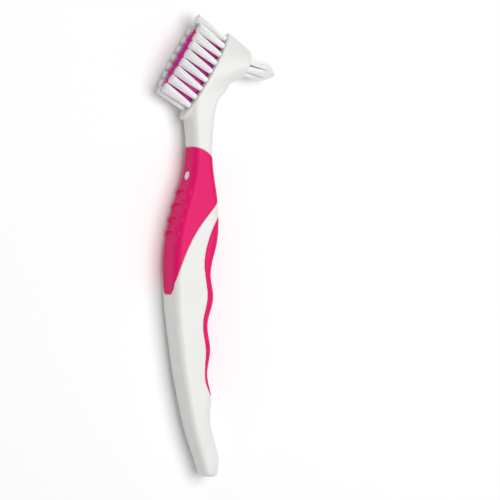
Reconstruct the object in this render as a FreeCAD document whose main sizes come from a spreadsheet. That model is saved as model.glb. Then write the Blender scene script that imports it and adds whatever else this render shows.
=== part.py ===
import FreeCAD, Part
import math
import os
import Sketcher
from FreeCAD import Placement, Rotation, Vector

# A denture brush lying on its side.  Modelled with the tail end at Y = 0, the head end up +Y, the bristle
# side towards -X and the rear tuft towards +X.  The last step moves the whole brush so that the origin is
# below the middle of its box, on the surface that it lies on.

doc = FreeCAD.newDocument("denture_brush")
sheet = doc.addObject("Spreadsheet::Sheet", "sizes")

# Driving sizes in millimetres and degrees
SIZES = {
    # Tilted oval head
    "head_tilt": 32.0,
    "head_length": 40.0,
    "head_width": 12.2,
    "head_rim": 1.6,
    "neck_stop": 0.6,
    "head_edge_round": 0.5,
    "head_centre_along": 156.0,
    # Round boss behind the head, placed from the middle of the oval face
    "boss_diameter": 12.2,
    "boss_turn": 12.0,
    "boss_up": 13.1,
    "boss_behind": 12.7,
    "boss_edge_round": 1.1,
    # Oval that leads the curved sides from the face to the boss
    "draw_length": 16.6,
    "draw_width": 12.2,
    "draw_turn": 9.7,
    "draw_up": 11.4,
    "draw_behind": 7.9,
    # Tufts of the head
    "tuft_hole": 2.3,
    "tuft_clearance": 0.05,
    "tuft_hole_depth": 3.4,
    "tuft_length": 13.5,
    "tuft_tip": 3.4,
    "tuft_tip_round": 0.3,
    "toe_tuft_length": 15.3,
    "inner_tuft_length": 12.7,
    "inner_tuft_tip": 3.2,
    "ring_count": 18,
    "ring_end_inset": 3.4,
    "ring_side_inset": 1.9,
    "ring_shift": 0.7,
    "ring_start": 15.0,
    "inner_row_count": 5,
    "inner_pitch": 3.8,
    "inner_row_offset": 1.15,
    "inner_stagger": 0.95,
    "inner_end_place": 11.6,
    "tuft_fan": 0.16,
    # Tufts of the boss
    "rear_count": 6,
    "rear_circle": 5.9,
    "rear_tilt": 13.0,
    "rear_hole_depth": 4.0,
    "rear_length": 14.3,
    "rear_tip": 2.75,
    "rear_trim_diameter": 8.6,
    "rear_trim_straight": 6.0,
    "rear_trim_point": 1.6,
    # Staples that hold the tufts
    "anchor_thick": 0.3,
    "anchor_height": 1.4,
    "anchor_clearance": 0.04,
    # Overmoulded grips
    "grip_wall": 1.7,
    "pad_top_front": 128.1,
    "pad_top_middle": 126.6,
    "pad_top_back": 123.3,
    "pad_tongue_end": 70.3,
    "pad_tongue_height": 4.4,
    "pad_tongue_width": 8.8,
    "pad_tongue_rise": 3.0,
    "stud_diameter": 3.6,
    "stud_along": 117.0,
    "ridge_count": 4,
    "ridge_first": 112.9,
    "ridge_pitch": 5.3,
    "ridge_band": 1.5,
    "ridge_curve": 8.2,
    "ridge_half_width": 5.3,
    "ridge_height": 0.45,
    "ridge_dip": 0.3,
    "tail_round": 1.2,
}

# Sections of the handle from the tail to the head: place along the handle, front edge, back edge, width
# and corner radius.
STATIONS = {
    "tail": (0.0, -1.25, 5.45, 7.6, 2.2),
    "heel": (4.4, -2.7, 5.3, 8.0, 2.3),
    "ankle": (12.2, -5.5, 4.0, 8.9, 2.4),
    "hollow_d": (23.3, -8.85, 1.2, 9.9, 2.7),
    "crest_c": (30.4, -10.4, 1.45, 10.4, 2.8),
    "hollow_c": (40.1, -12.45, -0.45, 10.9, 3.0),
    "crest_b": (49.2, -13.85, 0.8, 11.4, 3.15),
    "hollow_b": (59.6, -15.2, -0.5, 11.9, 3.2),
    "crest_a": (69.5, -16.0, 1.95, 12.3, 3.3),
    "hollow_a": (78.0, -16.1, 0.75, 12.6, 3.3),
    "belly": (90.2, -15.4, 3.4, 12.6, 3.4),
    "waist": (99.8, -13.4, 4.25, 12.4, 3.3),
    "thumb": (107.8, -10.8, 3.8, 12.0, 3.1),
    "slope": (116.7, -7.9, 2.6, 10.9, 3.0),
    "neck": (124.2, -6.8, 2.1, 9.9, 2.9),
    "throat": (133.3, -6.95, 2.4, 10.2, 2.9),
}

# Sections that turn from the neck into the head: front and back points, width and corner radius.
TURNS = {
    "chin": (-7.4, 137.5, 3.1, 140.8, 10.6, 3.0),
    "jaw": (-7.8, 142.2, 5.3, 147.1, 10.8, 3.2),
    "nape": (-3.9, 147.4, 10.1, 152.8, 9.8, 4.2),
}

# Lower edge of the front grip on the side of the handle, from the back edge to the front edge
PAD_EDGE = {
    "pad_back": (7.0, 111.5),
    "pad_rear": (3.9, 107.7),
    "pad_mid": (-5.9, 96.3),
    "pad_fore": (-12.0, 85.7),
    "pad_front": (-15.0, 77.2),
    "pad_low": (-15.75, 66.0),
}

# Inner edge of the rear grip on the side of the handle, from the head end to the tail end
STRIP_EDGE = {
    "strip_top": (6.5, 103.6),
    "strip_a": (2.0, 99.1),
    "strip_b": (-0.7, 93.5),
    "strip_c": (-3.1, 82.0),
    "strip_d": (-1.8, 69.5),
    "strip_e": (-3.6, 59.6),
    "strip_f": (-2.2, 48.5),
    "strip_g": (-2.5, 39.5),
    "strip_h": (1.2, 30.8),
    "strip_end": (5.0, 27.6),
}


def write_sheet():
    """Puts every driving size in the sheet, as text under its own alias."""
    rows = dict(SIZES)
    for name, values in STATIONS.items():
        for part, value in zip(("along", "front", "back", "wide", "corner"), values):
            rows[name + "_" + part] = value
    for name, values in TURNS.items():
        parts = ("front", "front_along", "back", "back_along", "wide", "corner")
        for part, value in zip(parts, values):
            rows[name + "_" + part] = value
    for table in (PAD_EDGE, STRIP_EDGE):
        for name, values in table.items():
            rows[name + "_depth"] = values[0]
            rows[name + "_along"] = values[1]
    for row, (alias, value) in enumerate(rows.items(), start=1):
        sheet.set("A%d" % row, alias)
        sheet.set("B%d" % row, str(value))
        sheet.setAlias("B%d" % row, alias)


write_sheet()
doc.recompute()


def size(alias):
    """A driving size, read from the sheet."""
    return float(sheet.get(alias))


def feature(label, shape):
    """A free-form piece whose shape is worked out from the sheet."""
    made = doc.addObject("Part::Feature", label)
    made.Label = label
    made.Shape = shape
    return made


# Directions of the head in the side plane
tilt = math.radians(size("head_tilt"))
head_along = Vector(math.sin(tilt), math.cos(tilt), 0)
head_out = Vector(-math.cos(tilt), math.sin(tilt), 0)
across = Vector(0, 0, 1)
head_centre = Vector(0, size("head_centre_along"), 0)


# Handle form
def rounded_section(front, back, wide, corner, grow):
    """A rounded rectangle across the handle, between a front and a back point, grown on every side."""
    deep = back.sub(front)
    middle = front.add(back).multiply(0.5)
    u = Vector(deep).normalize()
    half_u = deep.Length / 2 + grow
    half_v = wide / 2 + grow
    r = corner + grow

    def at(a, b):
        return middle + u * a + across * b

    edges = []
    for turn in range(4):
        sign_u, sign_v = ((1, 1), (-1, 1), (-1, -1), (1, -1))[turn]
        centre_u, centre_v = sign_u * (half_u - r), sign_v * (half_v - r)
        start = math.radians(90 * turn)
        ends = [at(centre_u + r * math.cos(start + step), centre_v + r * math.sin(start + step))
                for step in (0, math.pi / 4, math.pi / 2)]
        if edges:
            edges.append(Part.LineSegment(last, ends[0]))
        else:
            first = ends[0]
            edges.append(None)
        edges.append(Part.Arc(ends[0], ends[1], ends[2]))
        last = ends[2]
    edges[0] = Part.LineSegment(last, first)
    return Part.Wire([edge.toShape() for edge in edges])


def handle_form(grow, with_ends):
    """The handle's outer form, or one grown or shrunk from it by an even amount."""
    wires = []
    for name in STATIONS:
        if name == "tail" and not with_ends:
            continue
        along = size(name + "_along")
        front = Vector(size(name + "_front"), along, 0)
        back = Vector(size(name + "_back"), along, 0)
        wires.append(rounded_section(front, back, size(name + "_wide"), size(name + "_corner"), grow))
    for name in TURNS:
        front = Vector(size(name + "_front"), size(name + "_front_along"), 0)
        back = Vector(size(name + "_back"), size(name + "_back_along"), 0)
        wires.append(rounded_section(front, back, size(name + "_wide"), size(name + "_corner"), grow))
    return Part.makeLoft(wires, True, False)


def edges_in_plane(shape, frame):
    """Edges of a shape that lie in the frame's own XY plane."""
    normal = frame.Rotation.multVec(Vector(0, 0, 1))
    found = []
    for edge in shape.Edges:
        places = (edge.FirstParameter, (edge.FirstParameter + edge.LastParameter) / 2)
        if all(abs((edge.valueAt(place) - frame.Base).dot(normal)) < 1e-4 for place in places):
            found.append(edge)
    return found


tail_frame = Placement(Vector(0, size("tail_along"), 0), Rotation(Vector(1, 0, 0), 90))
outer = handle_form(0.0, True)
outer = outer.makeFillet(size("tail_round"), edges_in_plane(outer, tail_frame)).Solids[0]
core = handle_form(-size("grip_wall"), False)
raised = handle_form(size("ridge_height"), False)
dipped = handle_form(-size("ridge_dip"), False)

# Block of stuff that reaches past the handle on every side, for outlines that are cut across it
REACH = 40.0


def side_block(edges):
    """A closed outline in the side plane, made into a block across the handle."""
    face = Part.Face(Part.Wire([edge.toShape() for edge in edges]))
    face.translate(across * -REACH)
    return face.extrude(across * (2 * REACH))


def smooth_edge(table):
    """A smooth curve through the named points of a grip's edge."""
    points = [Vector(size(name + "_depth"), size(name + "_along"), 0) for name in table]
    curve = Part.BSplineCurve()
    curve.interpolate(points)
    return curve, points[0], points[-1]


# Front grip
def front_block():
    """The part of the handle that the front grip covers, before its rounded lower end."""
    curve, first, last = smooth_edge(PAD_EDGE)
    neck_front = Vector(size("neck_front"), size("pad_top_front"), 0)
    top_mid = Vector((size("neck_front") + size("neck_back")) / 2, size("pad_top_middle"), 0)
    top_back = Vector(size("neck_back"), size("pad_top_back"), 0)
    corners = [Vector(-REACH, neck_front.y, 0), Vector(REACH, top_back.y, 0), Vector(REACH, first.y, 0),
               Vector(-REACH, last.y, 0)]
    return side_block([
        Part.LineSegment(corners[0], neck_front),
        Part.Arc(neck_front, top_mid, top_back),
        Part.LineSegment(top_back, corners[1]),
        Part.LineSegment(corners[1], corners[2]),
        Part.LineSegment(corners[2], first),
        curve,
        Part.LineSegment(last, corners[3]),
        Part.LineSegment(corners[3], corners[0]),
    ])


def front_view_block(edges):
    """A closed outline seen from the front, made into a block through the depth of the handle."""
    face = Part.Face(Part.Wire([edge.toShape() for edge in edges]))
    face.translate(Vector(-REACH, 0, 0))
    return face.extrude(Vector(2 * REACH, 0, 0))


def tongue_block():
    """The rounded lower end of the front grip, seen from the front."""
    half = size("pad_tongue_width") / 2
    low = size("pad_tongue_end")
    spring = low + size("pad_tongue_height")
    wide = size("hollow_a_wide")
    flare = spring + size("pad_tongue_rise") * (wide - half)
    top = size("throat_along")
    bottom = Part.Arc(Vector(0, spring, -half), Vector(0, low, 0), Vector(0, spring, half))
    return front_view_block([
        bottom,
        Part.LineSegment(Vector(0, spring, half), Vector(0, flare, wide)),
        Part.LineSegment(Vector(0, flare, wide), Vector(0, top, wide)),
        Part.LineSegment(Vector(0, top, wide), Vector(0, top, -wide)),
        Part.LineSegment(Vector(0, top, -wide), Vector(0, flare, -wide)),
        Part.LineSegment(Vector(0, flare, -wide), Vector(0, spring, -half)),
    ])


def arch_band(apex, thick, half_width):
    """A band across the front, bowed towards the head, with its top at the given place."""
    bow = size("ridge_curve")

    def arc(top):
        centre = top - bow
        drop = centre + math.sqrt(bow ** 2 - half_width ** 2)
        return (Vector(0, drop, -half_width), Vector(0, top, 0), Vector(0, drop, half_width))

    upper, lower = arc(apex), arc(apex - thick)
    return front_view_block([
        Part.Arc(*upper),
        Part.LineSegment(upper[2], lower[2]),
        Part.Arc(lower[2], lower[1], lower[0]),
        Part.LineSegment(lower[0], upper[0]),
    ])


def front_half(shape):
    """Keeps what lies on the bristle side of the handle."""
    middle = (size("waist_front") + size("waist_back")) / 2
    block = Part.makeBox(REACH, 5 * REACH, 2 * REACH, Vector(middle - REACH, 0, -REACH))
    return shape.common(block)


shell = outer.cut(core)
stud = Part.makeCylinder(size("stud_diameter") / 2, REACH, Vector(-REACH, size("stud_along"), 0),
                         Vector(1, 0, 0))
front_region = front_block()
front_skin = shell.common(front_region.common(tongue_block()).cut(stud))
ridges = []
dips = []
band = size("ridge_band")
ridge_half = size("ridge_half_width")
for number in range(int(size("ridge_count"))):
    apex = size("ridge_first") - number * size("ridge_pitch")
    ridges.append(arch_band(apex, band, ridge_half))
    dips.append(arch_band(apex - band, size("ridge_pitch") - band, ridge_half - band / 2))
ridge_bands = front_half(Part.makeCompound(ridges)).common(front_region)
dip_bands = front_half(Part.makeCompound(dips))
front_ridges = raised.common(ridge_bands).cut(core)
front_dips = dip_bands.common(front_skin).cut(dipped)
front_body = front_skin.fuse(front_ridges).cut(front_dips)

# Rear grip
strip_curve, strip_first, strip_last = smooth_edge(STRIP_EDGE)
rear_block = side_block([
    strip_curve,
    Part.LineSegment(strip_last, Vector(REACH, strip_last.y, 0)),
    Part.LineSegment(Vector(REACH, strip_last.y, 0), Vector(REACH, strip_first.y, 0)),
    Part.LineSegment(Vector(REACH, strip_first.y, 0), strip_first),
])
rear_body = shell.common(rear_block)

grip_core = outer.cut(front_skin).cut(rear_body)
front_grip = feature("front_grip", front_body)
rear_grip = feature("rear_grip", rear_body)
handle_core = feature("handle_core", grip_core)


# Bodies, their planes and their sketches
def new_body(label):
    """A body of its own for one moulded, cut or bundled piece."""
    body = doc.addObject("PartDesign::Body", label)
    body.Label = label
    return body


def plane_sketch(body, name, role):
    """A sketch on one of the body's own origin planes."""
    sketch = body.newObject("Sketcher::SketchObject", name)
    plane = [item for item in body.Origin.OriginFeatures if item.Role == role][0]
    sketch.AttachmentSupport = [(plane, "")]
    sketch.MapMode = "FlatFace"
    return sketch


def drive(sketch, constraint, formula):
    """Adds a constraint whose value comes from the sheet."""
    index = sketch.addConstraint(constraint)
    sketch.setExpression("Constraints[%d]" % index, formula)


# Head: an oval face with a low rim, drawn back in a curve to the round boss
def oval_poles(frame, half_long, half_wide):
    """The poles of an oval in a frame, as four quarter arcs of three poles each."""
    corners = ((1, 0), (1, 1), (0, 1), (-1, 1), (-1, 0), (-1, -1), (0, -1), (1, -1))
    poles = [frame.multVec(Vector(half_long * a, half_wide * b, 0)) for a, b in corners]
    return [[poles[2 * i], poles[2 * i + 1], poles[(2 * i + 2) % 8]] for i in range(4)]


def quarter_side(rows):
    """The curved side between the quarter arcs of two ovals, led by a third oval between them."""
    surface = Part.BSplineSurface()
    weights = [[1.0, math.sqrt(0.5), 1.0]] * 3
    surface.buildFromPolesMultsKnots(list(rows), [3, 3], [3, 3], [0, 1], [0, 1], False, False, 2, 2, weights)
    return surface.toShape()


def turned_frame(name):
    """The frame of a section behind the face: its place up and behind, turned about the width."""
    place = Vector(size(name + "_up"), 0, size(name + "_behind"))
    return Placement(place, Rotation(Vector(0, 1, 0), size(name + "_turn")))


def head_shape():
    """The head about the middle of its face: X along it, Y across it and Z towards the boss."""
    half_long, half_wide, boss_half = (size(name) / 2 for name in ("head_length", "head_width", "boss_diameter"))
    rim_height = Vector(0, 0, size("head_rim"))
    rim_frame = Placement(rim_height, Rotation())
    boss_frame = turned_frame("boss")
    rings = [
        oval_poles(rim_frame, half_long, half_wide),
        oval_poles(turned_frame("draw"), size("draw_length") / 2, size("draw_width") / 2),
        oval_poles(boss_frame, boss_half, boss_half),
    ]
    sides = [quarter_side(rows) for rows in zip(*rings)]
    caps = []
    for frame in (rim_frame, boss_frame):
        ring = [edge for side in sides for edge in edges_in_plane(side, frame)]
        caps.append(Part.Face(Part.Wire(ring)))
    drawn = Part.Shell(caps + sides)
    drawn.sewShape()
    outline = Part.Ellipse(Vector(0, 0, 0), half_long, half_wide).toShape()
    rim = Part.Face(Part.Wire(outline)).extrude(rim_height)
    whole = rim.fuse(Part.Solid(drawn)).removeSplitter().Solids[0]
    for frame, radius in ((Placement(), "head_edge_round"), (boss_frame, "boss_edge_round")):
        whole = whole.makeFillet(size(radius), edges_in_plane(whole, frame))
    return whole


boss_middle = turned_frame("boss").Base
head = feature("head_form", head_shape())
face_frame = Placement(head_centre, Rotation(head_along, across, head_out * -1, "ZXY"))
head.Placement = face_frame

# The neck ends inside the head, just behind the face
neck_limit = doc.addObject("Part::Box", "neck_limit")
neck_limit.Length = neck_limit.Width = neck_limit.Height = 2 * REACH
stop_corner = Vector(-REACH, -REACH, size("neck_stop") - 2 * REACH)
neck_limit.Placement = face_frame.multiply(Placement(stop_corner, Rotation()))
stopped_core = doc.addObject("Part::Cut", "stopped_core")
stopped_core.Base = handle_core
stopped_core.Tool = neck_limit

# Handle: grip, neck and head moulded as one
handle_solid = doc.addObject("Part::Fuse", "handle_solid")
handle_solid.Base = stopped_core
handle_solid.Tool = head
handle_solid.Refine = False


# Tufts
def bundle(label, length, tip, depth):
    """One bundle of filaments: straight in its hole, spreading to its tip, with a slot for its staple."""
    body = new_body(label)
    outline = plane_sketch(body, label + "_outline", "XZ_Plane")
    root = size("tuft_hole") / 2 - size("tuft_clearance")
    rise = size(depth) + size(length)
    round_off = size("tuft_tip_round")
    corners = [Vector(0, 0, 0), Vector(root, 0, 0), Vector(root, size(depth), 0),
               Vector(size(tip) / 2, rise - round_off, 0), Vector(size(tip) / 2 - round_off, rise, 0),
               Vector(0, rise, 0)]
    lines = [Part.LineSegment(corners[i], corners[(i + 1) % 6]) for i in range(6)]
    outline.addGeometry(lines, False)
    for i in range(6):
        outline.addConstraint(Sketcher.Constraint("Coincident", i, 2, (i + 1) % 6, 1))
    outline.addConstraint(Sketcher.Constraint("Coincident", 0, 1, -1, 1))
    for line in (0, 4):
        outline.addConstraint(Sketcher.Constraint("Horizontal", line))
    for line in (1, 5):
        outline.addConstraint(Sketcher.Constraint("Vertical", line))
    drive(outline, Sketcher.Constraint("DistanceX", 0, 1, 0, 2, root),
          "sizes.tuft_hole / 2 - sizes.tuft_clearance")
    drive(outline, Sketcher.Constraint("DistanceY", 1, 1, 1, 2, size(depth)), "sizes." + depth)
    drive(outline, Sketcher.Constraint("DistanceX", -1, 1, 2, 2, size(tip) / 2), "sizes.%s / 2" % tip)
    drive(outline, Sketcher.Constraint("DistanceY", -1, 1, 4, 2, rise),
          "sizes.%s + sizes.%s" % (depth, length))
    drive(outline, Sketcher.Constraint("DistanceY", 3, 1, 3, 2, round_off), "sizes.tuft_tip_round")
    drive(outline, Sketcher.Constraint("DistanceX", 3, 2, 3, 1, round_off), "sizes.tuft_tip_round")
    turned = body.newObject("PartDesign::Revolution", label + "_turned")
    turned.Profile = outline
    turned.ReferenceAxis = (outline, ["V_Axis"])
    turned.Angle = 360
    slot = plane_sketch(body, label + "_slot_outline", "XY_Plane")
    half_wide, half_thick = size("tuft_hole"), size("anchor_thick") / 2 + size("anchor_clearance")
    ends = [Vector(-half_wide, -half_thick, 0), Vector(half_wide, -half_thick, 0),
            Vector(half_wide, half_thick, 0), Vector(-half_wide, half_thick, 0)]
    slot.addGeometry([Part.LineSegment(ends[i], ends[(i + 1) % 4]) for i in range(4)], False)
    for i in range(4):
        slot.addConstraint(Sketcher.Constraint("Coincident", i, 2, (i + 1) % 4, 1))
    for line, way in ((0, "Horizontal"), (1, "Vertical"), (2, "Horizontal"), (3, "Vertical")):
        slot.addConstraint(Sketcher.Constraint(way, line))
    slot.addConstraint(Sketcher.Constraint("Symmetric", 0, 1, 2, 1, -1, 1))
    drive(slot, Sketcher.Constraint("DistanceX", 0, 1, 0, 2, 2 * half_wide), "2 * sizes.tuft_hole")
    drive(slot, Sketcher.Constraint("DistanceY", 1, 1, 1, 2, 2 * half_thick),
          "sizes.anchor_thick + 2 * sizes.anchor_clearance")
    cut = body.newObject("PartDesign::Pocket", label + "_slot")
    cut.Profile = slot
    cut.Reversed = True
    cut.setExpression("Length", "sizes.anchor_height + sizes.anchor_clearance")
    return body


def drill(label, depth):
    """A tuft hole, run out past the face that it opens in."""
    hole = doc.addObject("Part::Cylinder", label)
    hole.setExpression("Radius", "sizes.tuft_hole / 2")
    hole.setExpression("Height", "sizes.%s + sizes.tuft_hole" % depth)
    return hole


def staple(label):
    """The flat staple that a bundle is folded over."""
    anchor = doc.addObject("Part::Box", label)
    anchor.setExpression("Length", "sizes.tuft_hole - 2 * sizes.tuft_clearance")
    anchor.setExpression("Width", "sizes.anchor_thick")
    anchor.setExpression("Height", "sizes.anchor_height")
    return anchor


def seat(place, direction, depth):
    """The frame of a tuft: its origin at the bottom of the hole, Z along the bundle."""
    out = Vector(direction).normalize()
    side = Vector(across).cross(out).normalize()
    turn = Rotation(side, out.cross(side), out, "ZXY")
    return Placement(place - out * depth, turn)


def plant(label, place, direction, length, tip, depth):
    """One tuft with its hole and its staple, at a place on the surface."""
    frame = seat(place, direction, size(depth))
    body = bundle(label, length, tip, depth)
    body.Placement = frame
    hole = drill(label + "_hole", depth)
    hole.Placement = frame
    anchor = staple(label + "_staple")
    shift = Vector(size("tuft_clearance") - size("tuft_hole") / 2, -size("anchor_thick") / 2, 0)
    anchor.Placement = frame.multiply(Placement(shift, Rotation()))
    return body, hole, anchor


# Tufts of the head: a ring of outer tufts, two staggered inner rows and one inner tuft at each end
def ring_places():
    """Evenly spaced places along an oval inside the edge of the face, as (along, across)."""
    half_long = size("head_length") / 2 - size("ring_end_inset")
    half_wide = size("head_width") / 2 - size("ring_side_inset")
    start = math.radians(size("ring_start"))
    line = Part.Ellipse(Vector(0, 0, 0), half_long, half_wide).toShape(start, start + 2 * math.pi)
    points = line.discretize(Number=int(size("ring_count")) + 1)[:-1]
    return [(point.x + size("ring_shift"), point.y) for point in points]


def inner_places():
    """The two inner rows and the single tufts at their ends, as (along, across)."""
    count = int(size("inner_row_count"))
    places = []
    for sign in (-1, 1):
        for number in range(count):
            step = (number - (count - 1) / 2) * size("inner_pitch")
            along = size("ring_shift") + sign * size("inner_stagger") + step
            places.append((along, -sign * size("inner_row_offset")))
        places.append((size("ring_shift") + sign * size("inner_end_place"), 0.0))
    return places


def face_point(along, sideways):
    """A point on the oval face."""
    return head_centre + head_along * along + across * sideways


head_tufts = []
head_sets = (("outer_tuft", ring_places(), "tuft_length", "tuft_tip"),
             ("inner_tuft", inner_places(), "inner_tuft_length", "inner_tuft_tip"))
for kind, places, length, tip in head_sets:
    for number, (along, sideways) in enumerate(places, start=1):
        direction = head_out * size("tuft_length") + across * (size("tuft_fan") * sideways)
        label = "%s_%02d" % (kind, number)
        rise = "toe_tuft_length" if label == "outer_tuft_01" else length
        head_tufts.append(plant(label, face_point(along, sideways), direction, rise, tip, "tuft_hole_depth"))

# Tufts of the boss: one in the middle and a circle round it, trimmed together to a point
rear_turn = math.radians(size("rear_tilt"))
rear_out = Vector(math.cos(rear_turn), -math.sin(rear_turn), 0)
rear_side = across.cross(rear_out)
rear_middle = face_frame.multVec(boss_middle)
rear_places = [rear_middle]
for number in range(int(size("rear_count"))):
    angle = 2 * math.pi * number / int(size("rear_count"))
    radius = size("rear_circle") / 2
    rear_places.append(rear_middle + rear_side * (radius * math.cos(angle)) + across * (radius * math.sin(angle)))
rear_tufts = [plant("rear_bundle_%d" % number, place, rear_out, "rear_length", "rear_tip", "rear_hole_depth")
              for number, place in enumerate(rear_places, start=1)]

trim = new_body("rear_trim")
trim_sketch = plane_sketch(trim, "rear_trim_outline", "XZ_Plane")
trim_half = size("rear_trim_diameter") / 2
point_half = size("rear_trim_point") / 2
trim_low = -size("rear_hole_depth") - size("boss_diameter") / 2
straight, top = size("rear_trim_straight"), size("rear_length")
bulge = Vector((trim_half + point_half) / 2 + trim_half / 8, (straight + top) / 2 + trim_half / 8, 0)
trim_sketch.addGeometry([
    Part.LineSegment(Vector(0, trim_low, 0), Vector(trim_half, trim_low, 0)),
    Part.LineSegment(Vector(trim_half, trim_low, 0), Vector(trim_half, straight, 0)),
    Part.Arc(Vector(trim_half, straight, 0), bulge, Vector(point_half, top, 0)),
    Part.LineSegment(Vector(point_half, top, 0), Vector(0, top, 0)),
    Part.LineSegment(Vector(0, top, 0), Vector(0, trim_low, 0)),
], False)
trim_turned = trim.newObject("PartDesign::Revolution", "rear_trim_turned")
trim_turned.Profile = trim_sketch
trim_turned.ReferenceAxis = (trim_sketch, ["V_Axis"])
trim_turned.Angle = 360
trim.Placement = seat(rear_middle, rear_out, 0)
doc.recompute()

trimmed_tufts = []
for number, (body, hole, anchor) in enumerate(rear_tufts, start=1):
    trimmed = doc.addObject("Part::Common", "rear_tuft_%d" % number)
    trimmed.Base = body
    trimmed.Tool = trim
    trimmed_tufts.append(trimmed)

# Handle with every tuft hole drilled
holes = doc.addObject("Part::Compound", "tuft_holes")
holes.Links = [hole for body, hole, anchor in head_tufts + rear_tufts]
handle = doc.addObject("Part::Cut", "handle")
handle.Base = handle_solid
handle.Tool = holes
handle.Refine = False
head_anchors = doc.addObject("Part::Compound", "head_anchors")
head_anchors.Links = [anchor for body, hole, anchor in head_tufts]
rear_anchors = doc.addObject("Part::Compound", "rear_anchors")
rear_anchors.Links = [anchor for body, hole, anchor in rear_tufts]
doc.recompute()

pieces = [handle, front_grip, rear_grip, head_anchors, rear_anchors]
pieces += [body for body, hole, anchor in head_tufts]
pieces += trimmed_tufts

# Every object has to be sound before anything is written
for item in doc.Objects:
    if "Invalid" in item.State or "Error" in item.State:
        raise RuntimeError("failed: " + item.Label)
for piece in pieces:
    if piece.Shape.isNull() or not piece.Shape.isValid():
        raise RuntimeError("bad shape: " + piece.Label)

# The brush lies on its side with the origin below the middle of its box
box = FreeCAD.BoundBox()
for piece in pieces:
    box.add(piece.Shape.BoundBox)
rest = Vector(-box.Center.x, -box.Center.y, -box.ZMin)

os.makedirs("parts", exist_ok=True)
for piece in pieces:
    piece.Placement = Placement(rest, Rotation()).multiply(piece.Placement)
for piece in pieces:
    piece.Shape.exportStep("parts/%s.step" % piece.Label)
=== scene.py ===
"""Denture brush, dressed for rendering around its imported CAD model.

The brush lies on its side on a pale sheet of paper.  Lengths are in metres, in the frame of the CAD model:
Y runs along the handle from the tail to the head, Z points up, the bristled face of the head looks towards
-X and the rear tufts towards +X.
"""

import logging
import math
from dataclasses import dataclass
from enum import Enum

import bpy
import numpy as np
from mathutils import Matrix, Vector
from mathutils.bvhtree import BVHTree

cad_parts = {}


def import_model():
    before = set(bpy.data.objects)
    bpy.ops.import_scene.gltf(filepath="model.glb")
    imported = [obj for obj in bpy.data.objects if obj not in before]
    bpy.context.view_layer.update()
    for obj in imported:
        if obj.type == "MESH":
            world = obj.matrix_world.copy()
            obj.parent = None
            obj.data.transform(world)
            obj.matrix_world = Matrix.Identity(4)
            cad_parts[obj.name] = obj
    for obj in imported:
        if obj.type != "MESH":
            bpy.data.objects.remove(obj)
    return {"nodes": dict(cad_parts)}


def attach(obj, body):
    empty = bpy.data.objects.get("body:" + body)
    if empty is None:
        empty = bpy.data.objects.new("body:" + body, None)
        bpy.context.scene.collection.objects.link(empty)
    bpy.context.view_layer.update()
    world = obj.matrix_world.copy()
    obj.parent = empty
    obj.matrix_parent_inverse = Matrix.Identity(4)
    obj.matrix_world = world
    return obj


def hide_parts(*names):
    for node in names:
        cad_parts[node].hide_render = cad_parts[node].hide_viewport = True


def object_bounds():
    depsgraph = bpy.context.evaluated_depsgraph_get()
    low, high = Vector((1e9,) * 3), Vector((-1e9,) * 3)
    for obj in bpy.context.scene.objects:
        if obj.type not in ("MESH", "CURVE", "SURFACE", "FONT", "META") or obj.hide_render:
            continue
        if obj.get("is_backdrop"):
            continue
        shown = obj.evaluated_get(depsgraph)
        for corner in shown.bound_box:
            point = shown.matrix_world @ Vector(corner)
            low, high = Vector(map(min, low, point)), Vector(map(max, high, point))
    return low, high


MM = 0.001
BODY = "root"

# The height of the plane that halves the brush.
MID_HEIGHT = 6.91 * MM

Point = tuple[float, float, float]
Nodes = dict[str, bpy.types.Object]

log = logging.getLogger("denture_brush")


class Slot(Enum):
    """The record's material slots that the pieces of the scene belong to."""

    HANDLE = "handle_plastic"
    GRIP = "grip_rubber"
    WHITE = "white_nylon"
    COLOURED = "coloured_nylon"


# Node helpers

def linear(hex_colour: str) -> tuple[float, float, float, float]:
    """Turns an sRGB hex colour into the linear colour that Blender's sockets take.

    Args:
        hex_colour: six hex digits, such as "F2F1EE".

    Returns:
        Red, green, blue and an alpha of 1.
    """
    parts = [int(hex_colour[i:i + 2], 16) / 255 for i in (0, 2, 4)]
    # The sRGB curve has a short straight foot and a power above it.
    red, green, blue = [p / 12.92 if p <= 0.04045 else ((p + 0.055) / 1.055) ** 2.4 for p in parts]
    return red, green, blue, 1.0


def add_node(tree: bpy.types.NodeTree, kind: str, settings: dict[str | int, object] | None = None,
             links: dict[str | int, bpy.types.NodeSocket] | None = None) -> bpy.types.Node:
    """Adds one shader node with its settings and its links.

    Args:
        tree: the node tree that gets the node.
        kind: the node's type name without "ShaderNode".
        settings: values by input name or number, or by the name of one of the node's own properties.
        links: output sockets by the input name or number that they reach.

    Returns:
        The new node.
    """
    node = tree.nodes.new("ShaderNode" + kind)
    for key, value in (settings or {}).items():
        if isinstance(key, str) and hasattr(node, key):
            setattr(node, key, value)
        else:
            node.inputs[key].default_value = value
    for key, output in (links or {}).items():
        tree.links.new(output, node.inputs[key])
    return node


def new_material(name: str) -> tuple[bpy.types.Material, bpy.types.NodeTree]:
    """Makes an empty node material.

    Args:
        name: the material's name.

    Returns:
        The material and its empty node tree.
    """
    material = bpy.data.materials.new(name)
    material.use_nodes = True
    material.node_tree.nodes.clear()
    return material, material.node_tree


# Finishes

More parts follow.
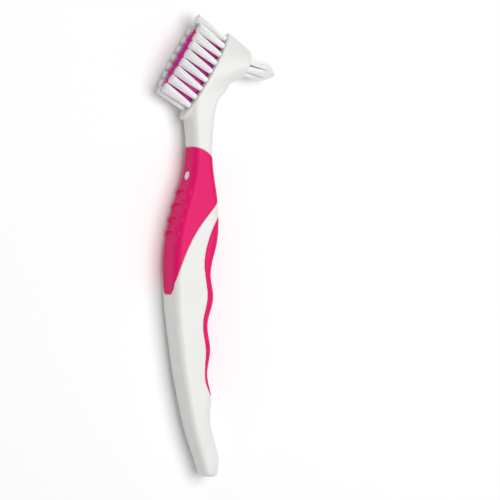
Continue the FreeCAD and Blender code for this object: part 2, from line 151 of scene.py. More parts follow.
@dataclass(frozen=True)
class MouldedPolypropylene:
    """White polypropylene from a satin-polished mould.

    To the eye it is a clean, faintly warm white with a soft broad highlight.  A little light gets into it, so
    the edges of shadows are soft.

    Attributes:
        name: the material's name.
        base: its colour.
        shade: its colour on the crests of the slow waves.
        ior: its index of refraction.
        roughness: how rough the glossiest and the dullest spots are.
        grain: the size of the mould texture, as drawn.
        sink: the length of the slow waves.
    """

    name: str = "moulded_polypropylene_white"
    base: str = "E8E8E6"
    shade: str = "E3E2DF"
    ior: float = 1.49
    roughness: tuple[float, float] = (0.30, 0.40)
    grain: float = 0.45 * MM
    sink: float = 9 * MM

    def material(self) -> bpy.types.Material:
        """Builds the material.

        Returns:
            The white body material.
        """
        material, tree = new_material(self.name)
        place = add_node(tree, "TexCoord")
        # Mould texture: the real grain is about 0.1 mm, too fine for the render, so it is drawn coarser.
        grain = add_node(tree, "TexNoise", {"Scale": 1 / self.grain, "Detail": 3.0, "Roughness": 0.6},
                         {"Vector": place.outputs["Object"]})
        # Slow waves where thick walls sank a little while they cooled.
        sink = add_node(tree, "TexNoise", {"Scale": 1 / self.sink, "Detail": 1.0},
                        {"Vector": place.outputs["Object"]})
        tone = add_node(tree, "Mix", {"data_type": "RGBA", 6: linear(self.base), 7: linear(self.shade)},
                        {0: sink.outputs["Fac"]})
        gloss = add_node(tree, "MapRange", {"To Min": self.roughness[0], "To Max": self.roughness[1]},
                         {"Value": grain.outputs["Fac"]})
        wave = add_node(tree, "Bump", {"Strength": 0.25, "Distance": 0.12 * MM},
                        {"Height": sink.outputs["Fac"]})
        bump = add_node(tree, "Bump", {"Strength": 0.12, "Distance": 0.02 * MM},
                        {"Height": grain.outputs["Fac"], "Normal": wave.outputs["Normal"]})
        shader = add_node(tree, "BsdfPrincipled",
                          {"IOR": self.ior, "Subsurface Weight": 0.12, "Subsurface Scale": 1.2 * MM,
                           "Subsurface Radius": (1.0, 0.95, 0.85)},
                          {"Base Color": tone.outputs[2], "Roughness": gloss.outputs["Result"],
                           "Normal": bump.outputs["Normal"]})
        add_node(tree, "OutputMaterial", links={"Surface": shader.outputs["BSDF"]})
        return material


@dataclass(frozen=True)
class OvermouldedElastomer:
    """Pink thermoplastic elastomer, moulded over the handle.

    To the eye it is a deep, even pink with a dull rubbery sheen, and its finely eroded mould surface spreads
    the highlight wide.

    Attributes:
        name: the material's name.
        base: its colour.
        deep: its colour in the flow marks.
        ior: its index of refraction.
        roughness: how rough the glossiest and the dullest spots are.
        grain: the size of the mould texture, as drawn.
        flow: the distance between flow marks.
    """

    name: str = "overmoulded_elastomer_pink"
    base: str = "E8006C"
    deep: str = "DE0066"
    ior: float = 1.50
    roughness: tuple[float, float] = (0.41, 0.54)
    grain: float = 0.5 * MM
    flow: float = 6 * MM

    def material(self) -> bpy.types.Material:
        """Builds the material.

        Returns:
            The pink grip material.
        """
        material, tree = new_material(self.name)
        place = add_node(tree, "TexCoord")
        # Eroded mould texture: the real pits are about 0.15 mm, and they are drawn coarser so that they show.
        grain = add_node(tree, "TexNoise", {"Scale": 1 / self.grain, "Detail": 4.0, "Roughness": 0.65},
                         {"Vector": place.outputs["Object"]})
        # Faint flow marks of the pigment.
        flow = add_node(tree, "TexNoise", {"Scale": 1 / self.flow, "Detail": 2.0},
                        {"Vector": place.outputs["Object"]})
        tone = add_node(tree, "Mix", {"data_type": "RGBA", 6: linear(self.base), 7: linear(self.deep)},
                        {0: flow.outputs["Fac"]})
        gloss = add_node(tree, "MapRange", {"To Min": self.roughness[0], "To Max": self.roughness[1]},
                         {"Value": grain.outputs["Fac"]})
        bump = add_node(tree, "Bump", {"Strength": 0.2, "Distance": 0.03 * MM},
                        {"Height": grain.outputs["Fac"]})
        shader = add_node(tree, "BsdfPrincipled",
                          {"IOR": self.ior, "Subsurface Weight": 0.08, "Subsurface Scale": 0.8 * MM,
                           "Subsurface Radius": (1.0, 0.3, 0.4), "Specular IOR Level": 0.2},
                          {"Base Color": tone.outputs[2], "Roughness": gloss.outputs["Result"],
                           "Normal": bump.outputs["Normal"]})
        add_node(tree, "OutputMaterial", links={"Surface": shader.outputs["BSDF"]})
        return material


@dataclass(frozen=True)
class DrawnNylon:
    """Nylon filament, drawn smooth and cut to length.

    To the eye each filament is slightly glassy, with a thin bright line along it, and no two have quite the
    same tone.  The tone comes from an attribute that each filament carries.

    Attributes:
        name: the material's name.
        light: the colour of the lightest filaments.
        dark: the colour of the darkest filaments.
        ior: its index of refraction.
        roughness: how rough the glossiest and the dullest spots are.
        cloud: the size of the clouds in the nylon.
        cloudiness: how much the clouds add to the tone of a filament.
    """

    name: str
    light: str
    dark: str
    ior: float = 1.53
    roughness: tuple[float, float] = (0.33, 0.48)
    cloud: float = 1.4 * MM
    cloudiness: float = 0.25

    def material(self) -> bpy.types.Material:
        """Builds the material.

        Returns:
            The filament material.
        """
        material, tree = new_material(self.name)
        own = add_node(tree, "Attribute", {"attribute_name": "tone"})
        place = add_node(tree, "TexCoord")
        clouds = add_node(tree, "TexNoise", {"Scale": 1 / self.cloud, "Detail": 2.0},
                          {"Vector": place.outputs["Object"]})
        mixed = add_node(tree, "Math", {"operation": "MULTIPLY_ADD", 1: self.cloudiness},
                         {0: clouds.outputs["Fac"], 2: own.outputs["Fac"]})
        tone = add_node(tree, "Mix", {"data_type": "RGBA", "clamp_factor": True,
                                      6: linear(self.dark), 7: linear(self.light)},
                        {0: mixed.outputs["Value"]})
        gloss = add_node(tree, "MapRange", {"To Min": self.roughness[0], "To Max": self.roughness[1]},
                         {"Value": clouds.outputs["Fac"]})
        # A little of the light wanders about 0.2 mm through the nylon, as far as a filament is thick.
        shader = add_node(tree, "BsdfPrincipled",
                          {"IOR": self.ior, "Subsurface Weight": 0.2, "Subsurface Scale": 0.2 * MM,
                           "Subsurface Radius": (1.0, 1.0, 1.0)},
                          {"Base Color": tone.outputs[2], "Roughness": gloss.outputs["Result"]})
        add_node(tree, "OutputMaterial", links={"Surface": shader.outputs["BSDF"]})
        return material


@dataclass(frozen=True)
class RolledBrass:
    """Brass strip, rolled thin and snipped into staples.

    To the eye it is a pale gold with fine rolling lines.

    Attributes:
        name: the material's name.
        bright: its colour between the lines.
        dull: its colour in the lines.
        roughness: how rough the glossiest and the dullest spots are.
        line: the length of the rolling lines.
        closeness: how many times closer the lines lie than they are long.
    """

    name: str = "rolled_brass"
    bright: str = "D8B25C"
    dull: str = "B08A3C"
    roughness: tuple[float, float] = (0.24, 0.44)
    line: float = 0.2 * MM
    closeness: float = 8.0

    def material(self) -> bpy.types.Material:
        """Builds the material.

        Returns:
            The staple material.
        """
        material, tree = new_material(self.name)
        place = add_node(tree, "TexCoord")
        stretched = add_node(tree, "Mapping", {"Scale": (1.0, 1.0, self.closeness)},
                             {"Vector": place.outputs["Object"]})
        lines = add_node(tree, "TexNoise", {"Scale": 1 / self.line, "Detail": 2.0},
                         {"Vector": stretched.outputs["Vector"]})
        tone = add_node(tree, "Mix", {"data_type": "RGBA", 6: linear(self.bright), 7: linear(self.dull)},
                        {0: lines.outputs["Fac"]})
        gloss = add_node(tree, "MapRange", {"To Min": self.roughness[0], "To Max": self.roughness[1]},
                         {"Value": lines.outputs["Fac"]})
        shader = add_node(tree, "BsdfPrincipled", {"Metallic": 1.0},
                          {"Base Color": tone.outputs[2], "Roughness": gloss.outputs["Result"]})
        add_node(tree, "OutputMaterial", links={"Surface": shader.outputs["BSDF"]})
        return material


@dataclass(frozen=True)
class CoatedPaper:
    """White coated background paper.

    To the eye it is a plain, matt white with a faint tooth.

    Attributes:
        name: the material's name.
        base: its colour.
        tooth: the size of the tooth.
    """

    name: str = "coated_paper"
    base: str = "FDFDFD"
    tooth: float = 1.5 * MM

    def material(self) -> bpy.types.Material:
        """Builds the material.

        Returns:
            The floor material.
        """
        material, tree = new_material(self.name)
        place = add_node(tree, "TexCoord")
        tooth = add_node(tree, "TexNoise", {"Scale": 1 / self.tooth, "Detail": 3.0},
                         {"Vector": place.outputs["Object"]})
        bump = add_node(tree, "Bump", {"Strength": 0.1, "Distance": 0.02 * MM},
                        {"Height": tooth.outputs["Fac"]})
        shader = add_node(tree, "BsdfPrincipled",
                          {"Base Color": linear(self.base), "Roughness": 0.7, "Specular IOR Level": 0.2},
                          {"Normal": bump.outputs["Normal"]})
        add_node(tree, "OutputMaterial", links={"Surface": shader.outputs["BSDF"]})
        return material


# Mesh helpers

def mesh_points(mesh: bpy.types.Mesh) -> np.ndarray:
    """Reads a mesh's vertices.

    Args:
        mesh: the mesh.

    Returns:
        An array with one row of x, y, z for each vertex.
    """
    points = np.empty(len(mesh.vertices) * 3)
    mesh.vertices.foreach_get("co", points)
    return points.reshape(-1, 3)


def relax(mesh: bpy.types.Mesh, weights: np.ndarray, passes: int, step: float,
          fill: bool = False) -> None:
    """Moves each vertex towards the middle of its neighbours, again and again.

    Args:
        mesh: the mesh whose vertices move.
        weights: how freely each vertex moves, from 0 to 1.
        passes: how often all vertices move.
        step: the share of the way that a free vertex moves in one pass, negative to push it away.
        fill: whether vertices move outwards only, which fills hollows and leaves ridges.
    """
    points = mesh_points(mesh)
    edges = np.empty(len(mesh.edges) * 2, np.int64)
    mesh.edges.foreach_get("vertices", edges)
    edges = edges.reshape(-1, 2)
    free = weights > 0
    first, second = edges[free[edges].any(axis=1)].T
    counts = np.maximum(np.bincount(np.concatenate((first, second)), minlength=len(points)), 1)[:, None]
    outwards = np.empty(len(points) * 3)
    mesh.vertices.foreach_get("normal", outwards)
    outwards = outwards.reshape(-1, 3)
    for _ in range(passes):
        total = np.column_stack([np.bincount(first, points[second, axis], len(points))
                                 + np.bincount(second, points[first, axis], len(points))
                                 for axis in range(3)])
        moves = total / counts - points
        if fill:
            moves[(moves * outwards).sum(axis=1) < 0] = 0
        points[free] += step * weights[free, None] * moves[free]
    mesh.vertices.foreach_set("co", points.ravel())
    mesh.update()


def add_piece(name: str, mesh: bpy.types.Mesh, slot: Slot, material: bpy.types.Material,
              *nodes: str) -> bpy.types.Object:
    """Puts a mesh into the scene as a piece of the brush in place of CAD nodes.

    Args:
        name: the piece's name.
        mesh: its mesh, in the frame of the CAD model.
        slot: the material slot of the record that its finish belongs to; it is not used.
        material: its finish.
        *nodes: the CAD nodes that it stands for.

    Returns:
        The new object.
    """
    mesh.name = name
    mesh.materials.clear()
    mesh.materials.append(material)
    mesh.polygons.foreach_set("use_smooth", [True] * len(mesh.polygons))
    piece = bpy.data.objects.new(name, mesh)
    bpy.context.scene.collection.objects.link(piece)
    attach(piece, BODY)
    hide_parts(*nodes)
    return piece


def remeshed(node: bpy.types.Object, voxel: float, weld_width: float = 0.002 * MM) -> bpy.types.Mesh:
    """Rebuilds the shape of a CAD node from small, even faces.

    Args:
        node: the CAD node, which stays as it is.
        voxel: the size of the faces.
        weld_width: how close vertices lie that are joined first.

    Returns:
        A new mesh.
    """
    copy = bpy.data.objects.new("remesh_source", node.data.copy())
    bpy.context.scene.collection.objects.link(copy)
    weld = copy.modifiers.new("weld", "WELD")
    weld.merge_threshold = weld_width
    remesh = copy.modifiers.new("remesh", "REMESH")
    remesh.mode = "VOXEL"
    remesh.voxel_size = voxel
    evaluated = copy.evaluated_get(bpy.context.evaluated_depsgraph_get())
    mesh = bpy.data.meshes.new_from_object(evaluated)
    bpy.data.objects.remove(copy)
    return mesh


@dataclass(frozen=True)
class Planting:
    """A surface that carries tufts.

    Attributes:
        middle: its middle.
        out: the direction in which it looks.
        along: the direction of its long side.
        fan: how far the bundles lean sideways, as a slope for each metre from its middle.
    """

    middle: np.ndarray
    out: np.ndarray
    along: np.ndarray
    fan: float


def planting(middle: Point, turn: float, fan: float = 0.0) -> Planting:
    """Sets up a surface that carries tufts, square to the side plane of the brush.

    Args:
        middle: its middle.
        turn: the angle from +X to the direction in which it looks, in degrees.
        fan: how far the bundles lean sideways, as a slope for each metre from its middle.

    Returns:
        The surface, whose long side points away from the tail.
    """
    angle = math.radians(turn)
    out = np.array((math.cos(angle), math.sin(angle), 0))
    return Planting(np.array(middle), out, np.array((-out[1], out[0], 0)) * np.sign(out[0]), fan)


HEAD = planting((-5.07 * MM, 66.21 * MM, MID_HEIGHT), 148, fan=12.3)
BOSS = planting((12.63 * MM, 70.56 * MM, MID_HEIGHT), -13)


# Moulded body

@dataclass
class MouldedPiece:
    """One moulded piece, with the soft edges that come out of a mould.

    Each pass pulls the surface together and pushes it out again by nearly as much, so that its edges get
    rounder while it keeps its size.

    Attributes:
        node: the CAD node that gives the shape.
        name: the name of the piece that replaces it.
        slot: the record's material slot.
        voxel: the size of the faces.
        passes: how often the surface is relaxed, which sets how soft the edges get.
        pull: how far a vertex goes towards its neighbours in one step.
        push: how far it goes back in the next.
    """

    node: str
    name: str
    slot: Slot
    voxel: float
    passes: int
    pull: float = 0.6
    push: float = -0.5

    def build(self, nodes: Nodes, material: bpy.types.Material) -> bpy.types.Object:
        """Builds and dresses the piece.

        Args:
            nodes: the CAD nodes by name.
            material: the finish.

        Returns:
            The piece.
        """
        mesh = remeshed(nodes[self.node], self.voxel)
        everywhere = np.ones(len(mesh.vertices))
        for _ in range(self.passes):
            relax(mesh, everywhere, 1, self.pull)
            relax(mesh, everywhere, 1, self.push)
        self.soften(mesh, nodes)
        return add_piece(self.name, mesh, self.slot, material, self.node)

    def soften(self, mesh: bpy.types.Mesh, nodes: Nodes) -> None:
        """Rounds chosen places further; a plain piece has none."""


@dataclass(frozen=True)
class Fillet:
    """A hollow between two forms that a fillet fills.

    Attributes:
        place: the middle of the hollow.
        reach: how far from there it is filled, half of it fully and the rest less and less.
    """

    place: Point
    reach: float


@dataclass
class Handle(MouldedPiece):
    """The white moulding: grip core, neck, head and boss.

    Attributes:
        fillets: the hollows where the neck runs into the head.
        fillet_passes: how often the surface is relaxed there, which sets how wide the fillets get.
        rim: how far behind the face of the head the filling starts.
        rim_fade: over what depth it sets in.
        set_back: how far behind the face the filling stays.
        tail: below this height the edges are rounder.
        tail_fade: over what length the rounding sets in.
        tail_passes: how often the surface is relaxed there, which sets how round the edges get.
        grips: the CAD nodes that lie in pockets of the handle.
        pocket_edge: how far round the grips the handle keeps its shape.
        pocket_fade: over what width the rounding sets in from there.
    """

    node: str = "handle"
    name: str = "handle_body"
    slot: Slot = Slot.HANDLE
    voxel: float = 0.35 * MM
    passes: int = 6
    fillets: tuple[Fillet, ...] = (Fillet((4.5 * MM, 58.0 * MM, MID_HEIGHT), 16 * MM),
                                   Fillet((-12.8 * MM, 47.5 * MM, MID_HEIGHT), 13 * MM))
    fillet_passes: int = 800
    rim: float = 0.6 * MM
    rim_fade: float = 0.8 * MM
    set_back: float = 1.2 * MM
    tail: float = -20 * MM
    tail_fade: float = 10 * MM
    tail_passes: int = 40
    grips: tuple[str, str] = ("front_grip", "rear_grip")
    pocket_edge: float = 0.8 * MM
    pocket_fade: float = 2.5 * MM

    def soften(self, mesh: bpy.types.Mesh, nodes: Nodes) -> None:
        """Blends the neck into the head with soft fillets and rounds the lower part of the handle."""
        self.blend_neck(mesh)
        self.round_tail(mesh, nodes)

    def blend_neck(self, mesh: bpy.types.Mesh) -> None:
        """Fills the hollows where the neck meets the head and leaves the face of the head alone.

        Args:
            mesh: the handle's mesh.
        """
        points = mesh_points(mesh)
        behind = (HEAD.middle - points) @ HEAD.out
        clear = np.clip((behind - self.rim) / self.rim_fade, 0, 1)
        near = np.zeros(len(points))
        for fillet in self.fillets:
            distance = np.linalg.norm(points - fillet.place, axis=1)
            near = np.maximum(near, np.clip(2 - 2 * distance / fillet.reach, 0, 1))
        relax(mesh, clear * near, self.fillet_passes, self.pull, fill=True)
        # What the filling pushed too far towards the face goes back.
        filled = mesh_points(mesh)
        ahead = np.minimum(behind, self.set_back) - (HEAD.middle - filled) @ HEAD.out
        filled -= np.outer(np.maximum(ahead, 0), HEAD.out)
        mesh.vertices.foreach_set("co", filled.ravel())
        mesh.update()

    def round_tail(self, mesh: bpy.types.Mesh, nodes: Nodes) -> None:
        """Rounds the edges of the lower handle and keeps the edges of the grips' pockets.

        Args:
            mesh: the handle's mesh.
            nodes: the CAD nodes by name.
        """
        points = mesh_points(mesh)
        weights = np.clip((self.tail - points[:, 1]) / self.tail_fade, 0, 1)
        for name in self.grips:
            grip = nodes[name].data
            skin = BVHTree.FromPolygons([v.co for v in grip.vertices], [p.vertices for p in grip.polygons])
            for number in np.flatnonzero(weights):
                distance = skin.find_nearest(Vector(points[number]))[3]
                weights[number] *= min(max((distance - self.pocket_edge) / self.pocket_fade, 0), 1)
        relax(mesh, weights, self.tail_passes, self.pull)


@dataclass
class FrontGrip(MouldedPiece):
    """The pink rubber over the front of the handle, whose ridges stay crisp."""

    node: str = "front_grip"
    name: str = "front_grip_skin"
    slot: Slot = Slot.GRIP
    voxel: float = 0.24 * MM
    passes: int = 4


@dataclass
class RearGrip(MouldedPiece):
    """The pink rubber in the back of the handle, with softer edges."""

    node: str = "rear_grip"
    name: str = "rear_grip_skin"
    slot: Slot = Slot.GRIP
    voxel: float = 0.26 * MM
    passes: int = 8


# Tufts

@dataclass(frozen=True)
class FlatTrim:
    """The ends of a bundle cut off flat, along the surface that carries it."""

    def lengths(self, mouths: np.ndarray, lines: np.ndarray, top: np.ndarray, base: Planting) -> np.ndarray:
        """Finds how long each filament is from its mouth to the cut, which goes through the top."""
        return ((top - mouths) @ base.out) / (lines @ base.out)


@dataclass(frozen=True)
class PointedTrim:
    """The ends of all bundles cut to one pointed dome.

    Attributes:
        radius: the radius of the dome where it starts.
        straight: the height up to which it has that radius.
        waist: a radius and a height that it passes through.
        point: the radius of its flat point.
        rise: the height of its point.
        longest: the length of the longest filament that is tried, as a share of the rise.
        samples: how many lengths are tried.
    """

    radius: float = 4.3 * MM
    straight: float = 6.0 * MM
    waist: tuple[float, float] = (3.09 * MM, 10.69 * MM)
    point: float = 0.8 * MM
    rise: float = 14.2 * MM
    longest: float = 1.1
    samples: int = 240

    def lengths(self, mouths: np.ndarray, lines: np.ndarray, top: np.ndarray, base: Planting) -> np.ndarray:
        """Finds how long each filament is above the surface.

        Args:
            mouths: where each filament comes out of its hole.
            lines: its direction.
            top: the middle of the bundle's end, which the dome doesn't need.
            base: the surface that carries the bundle.

        Returns:
            The lengths.
        """
        heights = (self.straight, self.waist[1], self.rise)
        outline = np.polyfit(heights, (self.radius, self.waist[0], self.point), 2)
        steps = np.linspace(0, self.rise * self.longest, self.samples)
        track = mouths[:, None] + lines[:, None] * steps[:, None] - base.middle
        height = track @ base.out
        distance = np.linalg.norm(track - height[..., None] * base.out, axis=2)
        room = np.where(height < self.straight, self.radius, np.polyval(outline, height))
        inside = (distance < room) & (height < self.rise)
        return steps[np.argmin(inside, axis=1)]


@dataclass
class Tuft:
    """One bundle of nylon filaments, folded over its staple at the bottom of its hole.

    Attributes:
        node: the CAD node that gives its place and direction.
        slot: the record's material slot.
        base: the surface that holds it.
        trim: how its ends are cut.
        spread: the half widths of its end, along and across that surface.
        gathered: by how much each of these is scaled in a bundle on the lower side.
        seed: the start of its random numbers.
        filaments: how many filaments stand in it.
        hole_radius: the radius of the bundle in its hole.
        hole_depth: the depth of the hole.
        foot: the height of the slice of the CAD node whose middle is the foot of the bundle.
        filled: the share of the radius up to which filaments stand.
        jumble: how far they stray from even places, as a share of the radius.
        thickness: the diameter of a filament.
        tip_width: the width of the last ring of a filament, as a share of its thickness.
        tip_rise: how far its tip stands beyond that ring, as a share of its thickness.
        unevenness: how far the ends differ in height.
        bend: how far a filament strays from its line.
        bow: how much of half a wave a filament bends through along its length.
        sides: the number of sides of a filament.
        stations: where along its free length a filament has a ring of points.
    """

    node: str
    slot: Slot
    base: Planting
    trim: FlatTrim | PointedTrim
    spread: tuple[float, float]
    gathered: tuple[float, float]
    seed: int
    filaments: int = 112
    hole_radius: float = 1.06 * MM
    hole_depth: float = 3.4 * MM
    foot: float = 0.3 * MM
    filled: float = 0.95
    jumble: float = 0.02
    thickness: float = 0.24 * MM
    tip_width: float = 0.55
    tip_rise: float = 0.2
    unevenness: float = 0.12 * MM
    bend: float = 0.06 * MM
    bow: float = 0.75
    sides: int = 5
    stations: tuple[float, ...] = (0.0, 0.3, 0.6, 0.9, 1.0)

    def build(self, nodes: Nodes, material: bpy.types.Material) -> bpy.types.Object:
        """Builds and dresses the bundle.

        Args:
            nodes: the CAD nodes by name.
            material: the filament finish.

        Returns:
            The piece.
        """
        rng = np.random.default_rng(self.seed)
        root, axis, top = self.core_line(mesh_points(nodes[self.node].data))
        along = self.base.along - axis * (self.base.along @ axis)
        across = np.cross(axis, along)
        places = self.places(rng)
        offsets = places[:, :1] * along + places[:, 1:] * across
        wide, thick = self.spread
        if root[2] < self.base.middle[2]:
            wide, thick = wide * self.gathered[0], thick * self.gathered[1]
        aims = top + places[:, :1] * along * wide + places[:, 1:] * across * thick
        mouths = root + axis * self.hole_depth + self.hole_radius * offsets
        lines = aims - mouths
        lines /= np.linalg.norm(lines, axis=1, keepdims=True)
        lengths = self.trim.lengths(mouths, lines, top, self.base)
        lengths -= self.unevenness * rng.random(len(lengths))
        mesh = self.tubes(mouths, lines, lengths, (along, across, axis), rng)
        return add_piece(self.node + "_filaments", mesh, self.slot, material, self.node)

    def core_line(self, points: np.ndarray) -> tuple[np.ndarray, np.ndarray, np.ndarray]:
        """Finds the middle line of the bundle.

        Args:
            points: the vertices of the CAD node.

        Returns:
            The middle of its lower end, its direction and the middle of its upper end.
        """
        height = points @ self.base.out
        low = points[height < height.min() + self.foot]
        root = (low.min(0) + low.max(0)) / 2
        axis = self.base.out + np.array((0, 0, self.base.fan * (root - self.base.middle)[2]))
        axis /= np.linalg.norm(axis)
        return root, axis, root + axis * ((points - root) @ axis).max()

    def places(self, rng: np.random.Generator) -> np.ndarray:
        """Spreads the filaments evenly over a disc of radius 1, slightly jumbled.

        Args:
            rng: the bundle's random numbers.

        Returns:
            One row of two numbers for each filament.
        """
        golden_angle = math.pi * (3 - math.sqrt(5))
        number = np.arange(self.filaments)
        radius = np.sqrt((number + 0.5) / self.filaments) * self.filled
        angle = number * golden_angle + rng.random() * math.tau
        spots = np.column_stack((radius * np.cos(angle), radius * np.sin(angle)))
        return spots + rng.normal(0, self.jumble, spots.shape)

    def tubes(self, mouths: np.ndarray, lines: np.ndarray, lengths: np.ndarray,
              axes: tuple[np.ndarray, np.ndarray, np.ndarray], rng: np.random.Generator) -> bpy.types.Mesh:
        """Makes the filaments as thin tubes with rounded ends.

        Args:
            mouths: where each filament comes out of its hole.
            lines: its direction.
            lengths: its length from there.
            axes: two directions across the bundle and the one along it.
            rng: the bundle's random numbers.

        Returns:
            The mesh, with the tone of each filament as an attribute.
        """
        along, across, axis = axes
        count, sides, rings = len(lengths), self.sides, len(self.stations) + 1
        stations = np.array(self.stations)
        turn = rng.random(count) * math.tau
        sway = self.bend * rng.normal(0, 1, count)
        lean = np.outer(np.cos(turn), along) + np.outer(np.sin(turn), across)
        middles = (mouths[:, None] + lines[:, None] * (lengths[:, None] * stations)[..., None]
                   + lean[:, None] * (sway[:, None] * np.sin(math.pi * stations * self.bow))[..., None])
        # Each tube starts halfway down the hole.
        buried = mouths[:, None] - axis * self.hole_depth / 2
        middles = np.concatenate((buried, middles), axis=1)
        widths = np.array([1.0] * (rings - 1) + [self.tip_width]) * self.thickness / 2
        angles = turn[:, None] + math.tau * np.arange(sides) / sides
        ring = np.cos(angles)[..., None] * along + np.sin(angles)[..., None] * across
        tube = middles[:, :, None] + widths[None, :, None, None] * ring[:, None]
        tips = middles[:, -1] + lines * self.thickness * self.tip_rise
        points = np.concatenate((tube.reshape(count, -1, 3), tips[:, None]), axis=1)
        # A filament's points are its rings, one after the other, and then its tip.
        stride = rings * sides + 1
        pattern = [(r * sides + s, r * sides + (s + 1) % sides, (r + 1) * sides + (s + 1) % sides,
                    (r + 1) * sides + s) for r in range(rings - 1) for s in range(sides)]
        top = (rings - 1) * sides
        pattern += [(top + s, top + (s + 1) % sides, stride - 1) for s in range(sides)]
        faces = [[number * stride + corner for corner in face] for number in range(count) for face in pattern]
        mesh = bpy.data.meshes.new(self.node + "_filaments")
        mesh.from_pydata(points.reshape(-1, 3).tolist(), [], faces)
        tone = mesh.attributes.new("tone", "FLOAT", "POINT")
        tone.data.foreach_set("value", np.repeat(rng.random(count), stride).astype(np.float32))
        return mesh


@dataclass
class TuftSet:
    """All bundles of one kind.

    Attributes:
        prefix: the start of the names of their CAD nodes.
        slot: the record's material slot.
        finish: their filaments' finish.
        base: the surface that holds them.
        trim: how their ends are cut.
        spread: the half widths of a bundle's end, along and across that surface.
        gathered: by how much each of these is scaled in bundles on the lower side.
        first_seed: the start of the random numbers of the first bundle.
    """

    prefix: str
    slot: Slot
    finish: DrawnNylon
    base: Planting
    trim: FlatTrim | PointedTrim
    spread: tuple[float, float]
    gathered: tuple[float, float]
    first_seed: int

    def build(self, nodes: Nodes) -> list[bpy.types.Object]:
        """Builds and dresses every bundle of the set.

        Args:
            nodes: the CAD nodes by name.

        Returns:
            The pieces.
        """
        material = self.finish.material()
        names = sorted(name for name in nodes if name.startswith(self.prefix))
        pieces = []
        for number, name in enumerate(names):
            tuft = Tuft(name, self.slot, self.base, self.trim, self.spread, self.gathered,
                        seed=self.first_seed + number)
            pieces.append(tuft.build(nodes, material))
        return pieces


@dataclass(frozen=True)
class Staples:
    """The staples that hold the bundles in their holes, which keep their CAD shape.

    Attributes:
        names: their CAD nodes.
    """

    names: tuple[str, str] = ("head_anchors", "rear_anchors")

    def dress(self, nodes: Nodes, material: bpy.types.Material) -> list[bpy.types.Object]:
        """Gives the staples their finish.

        Args:
            nodes: the CAD nodes by name.
            material: the finish.

        Returns:
            The nodes of the staples.
        """
        for name in self.names:
            nodes[name].data.materials.clear()
            nodes[name].data.materials.append(material)
        return [nodes[name] for name in self.names]


# Studio

@dataclass(frozen=True)
class Lamp:
    """A round, soft lamp that points at the middle of the brush.

    Attributes:
        name: its name.
        place: where it hangs.
        size: its diameter.
        power: its power in watts.
    """

    name: str
    place: Point
    size: float
    power: float


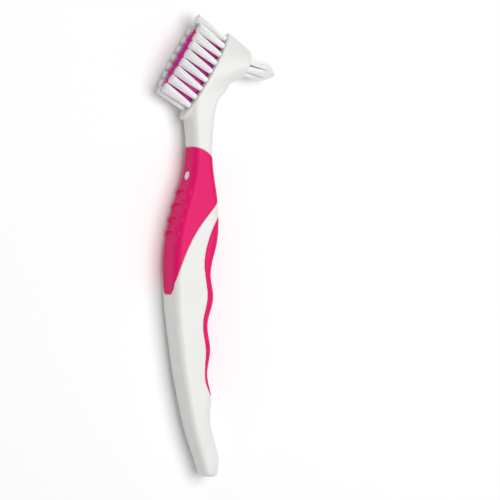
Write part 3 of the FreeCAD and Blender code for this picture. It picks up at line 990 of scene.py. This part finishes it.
@dataclass
class Studio:
    """The paper, the lights and the camera.

    Attributes:
        view_angle: the angle between the camera's line and straight down, towards -X, in degrees.
        centre: the point in the middle of the picture, as right, up and towards the camera.
        span: the width of the picture at that point.
        distance: how far the camera stands from it.
        sensor: the width of the camera's sensor in millimetres.
        sight: how far the camera sees.
        paper_size: the width of the paper.
        paper_squares: how many squares its mesh has along each side.
        lamps: the lamps over the paper.
        room_light: the strength of the even light of the room.
    """

    view_angle: float = 30.0
    centre: Point = (16.85 * MM, -1.62 * MM, 5.98 * MM)
    span: float = 194.6 * MM
    distance: float = 1.4
    sensor: float = 36.0
    sight: float = 20.0
    paper_size: float = 3.0
    paper_squares: int = 12
    lamps: tuple[Lamp, ...] = (Lamp("key_lamp", (0.16, 0.05, 0.90), size=0.9, power=6.5),
                               Lamp("rake_lamp", (-0.45, 0.65, 0.25), size=0.2, power=0.5))
    room_light: float = 0.38

    def build(self, floor_height: float) -> None:
        """Sets up everything that isn't the brush.

        Args:
            floor_height: the height of the lowest point of the brush.
        """
        self.lay_paper(floor_height)
        self.hang_lamps()
        self.light_room()
        self.aim_camera()

    def lay_paper(self, height: float) -> None:
        """Lays the paper under the brush.

        Args:
            height: its height.
        """
        squares, row = self.paper_squares, self.paper_squares + 1
        grid = np.linspace(-self.paper_size / 2, self.paper_size / 2, row)
        points = [(x, y, height) for y in grid for x in grid]
        faces = [(r * row + c, r * row + c + 1, (r + 1) * row + c + 1, (r + 1) * row + c)
                 for r in range(squares) for c in range(squares)]
        mesh = bpy.data.meshes.new("paper")
        mesh.from_pydata(points, [], faces)
        mesh.materials.append(CoatedPaper().material())
        paper = bpy.data.objects.new("paper", mesh)
        bpy.context.scene.collection.objects.link(paper)
        paper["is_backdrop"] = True

    def hang_lamps(self) -> None:
        """Hangs the soft lamps."""
        for lamp in self.lamps:
            light = bpy.data.lights.new(lamp.name, "AREA")
            light.shape = "DISK"
            light.size = lamp.size
            light.energy = lamp.power
            holder = bpy.data.objects.new(lamp.name, light)
            holder.location = lamp.place
            holder.rotation_euler = (-Vector(lamp.place)).to_track_quat("-Z", "Y").to_euler()
            bpy.context.scene.collection.objects.link(holder)

    def light_room(self) -> None:
        """Sets the even light of the room and shows colours as they are."""
        world = bpy.data.worlds.new("room")
        world.use_nodes = True
        back = world.node_tree.nodes["Background"]
        back.inputs["Color"].default_value = linear("FFFFFF")
        back.inputs["Strength"].default_value = self.room_light
        bpy.context.scene.world = world
        bpy.context.scene.view_settings.view_transform = "Standard"

    def aim_camera(self) -> None:
        """Places the camera at the angle of the photograph."""
        angle = math.radians(self.view_angle)
        towards = Vector((-math.sin(angle), 0, math.cos(angle)))
        right = Vector((math.cos(angle), 0, math.sin(angle)))
        up = Vector((0, 1, 0))
        target = sum((length * axis for length, axis in zip(self.centre, (right, up, towards))), Vector())
        lens = bpy.data.cameras.new("camera")
        lens.sensor_width = self.sensor
        lens.lens = self.sensor * self.distance / self.span
        lens.clip_end = self.sight
        camera = bpy.data.objects.new("camera", lens)
        turned = Matrix((right, up, towards)).transposed().to_4x4()
        camera.matrix_world = Matrix.Translation(target + towards * self.distance) @ turned
        bpy.context.scene.collection.objects.link(camera)
        bpy.context.scene.camera = camera


def main() -> None:
    """Builds the dressed brush and its studio."""
    logging.basicConfig(level=logging.INFO, format="%(name)s: %(message)s")
    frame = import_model()
    nodes = frame["nodes"]
    cad_box = [list(corner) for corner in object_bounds()]

    pieces = [Handle().build(nodes, MouldedPolypropylene().material())]
    pink = OvermouldedElastomer().material()
    pieces += [FrontGrip().build(nodes, pink), RearGrip().build(nodes, pink)]

    white = DrawnNylon("drawn_nylon_white", light="FFFFFF", dark="FCFBFC")
    magenta = DrawnNylon("drawn_nylon_magenta", light="FF3CC8", dark="E02CA6")
    pieces += TuftSet("outer_tuft", Slot.WHITE, white, HEAD, FlatTrim(), spread=(1.95 * MM, 1.5 * MM),
                      gathered=(0.76, 0.7), first_seed=100).build(nodes)
    pieces += TuftSet("inner_tuft", Slot.COLOURED, magenta, HEAD, FlatTrim(), spread=(1.9 * MM, 1.7 * MM),
                      gathered=(1.0, 1.4), first_seed=200).build(nodes)
    pieces += TuftSet("rear_tuft", Slot.WHITE, white, BOSS, PointedTrim(), spread=(1.85 * MM, 1.85 * MM),
                      gathered=(1.0, 1.0), first_seed=300).build(nodes)
    pieces += Staples().dress(nodes, RolledBrass().material())
    for piece in pieces:
        log.info("%s: %d faces", piece.name, len(piece.data.polygons))

    Studio().build(cad_box[0][2])


if __name__ == "__main__":
    main()
